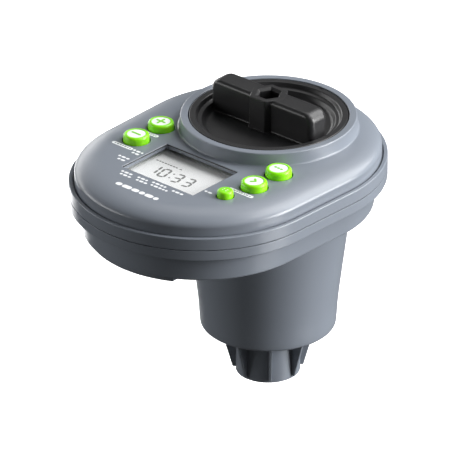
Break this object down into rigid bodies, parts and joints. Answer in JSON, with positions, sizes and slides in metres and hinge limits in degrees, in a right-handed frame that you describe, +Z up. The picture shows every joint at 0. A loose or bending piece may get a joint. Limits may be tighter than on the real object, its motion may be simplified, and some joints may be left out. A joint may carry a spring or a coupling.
{
  "type": "irrigation controller",
  "caption": "Battery irrigation controller with an oval display head, screw battery cap with grip bar, push buttons, and a tapered cup ending in a ribbed neck that screws onto a valve.",
  "frame": {"origin": "middle of the neck's lower end, where the controller seats on the valve", "axes": "+Z up along the neck and the battery cap, -Y towards the display end, +X to the right of a person who reads the display"},
  "size_m": [0.0972, 0.1257, 0.1136],
  "materials": {
    "housing_plastic": "satin, fine moulded grain",
    "cap_plastic": "satin",
    "button_green": "smooth",
    "button_white": "satin",
    "window_clear": "clear, glossy",
    "lcd_glass": "satin",
    "black_rubber": "matt",
    "board_green": "solder mask",
    "dark_plastic": "satin",
    "steel": "zinc-plated",
    "brass": "drawn",
    "copper_wire": "enamelled wire",
    "cell_jacket": "printed sleeve",
    "lead_red": "insulated lead"
  },
  "bodies": {
    "housing": {"battery_holder": "dark_plastic", "battery_lead": "lead_red", "button_minus_boot": "black_rubber", "button_mode_boot": "black_rubber", "button_next_boot": "black_rubber", "button_plus_boot": "black_rubber", "button_set_boot": "black_rubber", "cell_1": "cell_jacket", "cell_1_spring": "steel", "cell_2": "cell_jacket", "cell_2_spring": "steel", "cell_3": "cell_jacket", "cell_3_spring": "steel", "cell_4": "cell_jacket", "cell_4_spring": "steel", "circuit_board": "board_green", "coil_bobbin": "dark_plastic", "coil_lead": "dark_plastic", "coil_winding": "copper_wire", "contact_bottom_back": "steel", "contact_bottom_bridge": "steel", "contact_bottom_front": "steel", "contact_top_back": "steel", "contact_top_front": "steel", "controller_chip": "dark_plastic", "cup_housing": "housing_plastic", "display_window": "window_clear", "fixed_core": "steel", "guide_tube": "brass", "housing_screw_1": "steel", "housing_screw_2": "steel", "housing_screw_3": "steel", "housing_screw_4": "steel", "housing_seal": "black_rubber", "latch_magnet": "dark_plastic", "lcd_contact_strip": "black_rubber", "lcd_frame": "dark_plastic", "lcd_panel": "lcd_glass", "lower_housing": "housing_plastic", "plunger_spring": "steel", "solenoid_can": "steel", "storage_capacitor": "steel", "upper_housing": "housing_plastic", "valve_seal": "black_rubber", "wire_connector": "button_white"},
    "button_minus": {"button_minus": "button_green", "button_minus_disc": "button_white"},
    "button_mode": {"button_mode": "button_green"},
    "button_next": {"button_next": "button_green", "button_next_disc": "button_white"},
    "button_plus": {"button_plus": "button_green", "button_plus_disc": "button_white"},
    "button_set": {"button_set": "button_green", "button_set_disc": "button_white"},
    "cap_carrier": {"cap_seal": "black_rubber"},
    "cap": {"battery_cap": "cap_plastic"},
    "plunger": {"plunger": "steel", "plunger_seal": "black_rubber"}
  },
  "joints": [
    {"name": "button_minus_press", "type": "slide", "parent": "housing", "child": "button_minus", "axis": [0, 0, -1], "range_m": [0, 0.001], "stiffness_N_per_m": 900, "springref_m": -0.0005, "deforming": ["button_minus_boot"]},
    {"name": "button_mode_press", "type": "slide", "parent": "housing", "child": "button_mode", "axis": [0, 0, -1], "range_m": [0, 0.001], "stiffness_N_per_m": 900, "springref_m": -0.0005, "deforming": ["button_mode_boot"]},
    {"name": "button_next_press", "type": "slide", "parent": "housing", "child": "button_next", "axis": [0, 0, -1], "range_m": [0, 0.001], "stiffness_N_per_m": 900, "springref_m": -0.0005, "deforming": ["button_next_boot"]},
    {"name": "button_plus_press", "type": "slide", "parent": "housing", "child": "button_plus", "axis": [0, 0, -1], "range_m": [0, 0.001], "stiffness_N_per_m": 900, "springref_m": -0.0005, "deforming": ["button_plus_boot"]},
    {"name": "button_set_press", "type": "slide", "parent": "housing", "child": "button_set", "axis": [0, 0, -1], "range_m": [0, 0.001], "stiffness_N_per_m": 900, "springref_m": -0.0005, "deforming": ["button_set_boot"]},
    {"name": "cap_lift", "type": "slide", "parent": "housing", "child": "cap_carrier", "axis": [0, 0, 1], "range_m": [0, 0.008]},
    {"name": "cap_turn", "type": "hinge", "parent": "cap_carrier", "child": "cap", "pos_m": [0, 0, 0.1052], "axis": [0, 0, 1], "range_deg": [0, 720]},
    {"name": "plunger_lift", "type": "slide", "parent": "housing", "child": "plunger", "axis": [0, 0, 1], "range_m": [0, 0.0025], "stiffness_N_per_m": 200, "springref_m": -0.002, "deforming": ["plunger_spring"]}
  ],
  "couplings": [
    {"joint": "cap_lift", "follows": "cap_turn", "m_per_rad": 0.000636}
  ]
}
